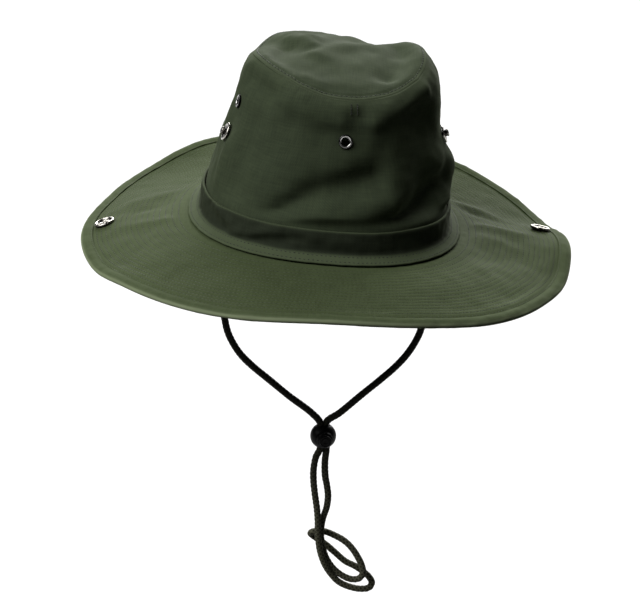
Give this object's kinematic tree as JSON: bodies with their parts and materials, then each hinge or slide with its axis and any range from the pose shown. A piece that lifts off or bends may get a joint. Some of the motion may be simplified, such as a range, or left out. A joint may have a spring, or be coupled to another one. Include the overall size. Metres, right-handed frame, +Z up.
{
  "type": "bush hat with chin cord",
  "caption": "Cloth bush hat: soft dented crown, folded band, wide stitched brim with side snaps, vent eyelets and a looped chin cord with a spring lock.",
  "frame": {"origin": "middle of the head opening, level with the foot of the crown, where the hat sits on a head", "axes": "+Z up, -Y towards the front of the hat, +X to the right as seen from the front. Left and right in the names are as seen from the front"},
  "size_m": [0.3459, 0.3577, 0.4204],
  "materials": {
    "cotton_crown": "olive cotton drill, washed",
    "cotton_brim": "olive cotton drill, stitched in rows",
    "nickel": "nickel-plated brass, lightly brushed",
    "cord_braid": "round black braid",
    "lock_plastic": "moulded black, semi-gloss"
  },
  "bodies": {
    "hat": {"crown_tip": "cotton_crown", "crown_side": "cotton_crown", "hat_band": "cotton_crown", "brim": "cotton_brim", "brim_hem": "cotton_brim", "eyelet_front": "nickel", "eyelet_left": "nickel", "eyelet_right": "nickel", "eyelet_back": "nickel", "crown_snap_left": "nickel", "crown_snap_right": "nickel", "brim_snap_left": "nickel", "brim_snap_right": "nickel", "cord_tab_left": "cotton_brim", "cord_tab_right": "cotton_brim", "chin_cord": "cord_braid", "cord_lock_body": "lock_plastic"},
    "button": {"cord_lock_button": "lock_plastic"}
  },
  "joints": [
    {"name": "button_press", "type": "slide", "parent": "hat", "child": "button", "axis": [-0.1392, 0.9903, 0], "range_m": [0, 0.0022], "stiffness_N_per_m": 300, "springref_m": -0.001}
  ]
}
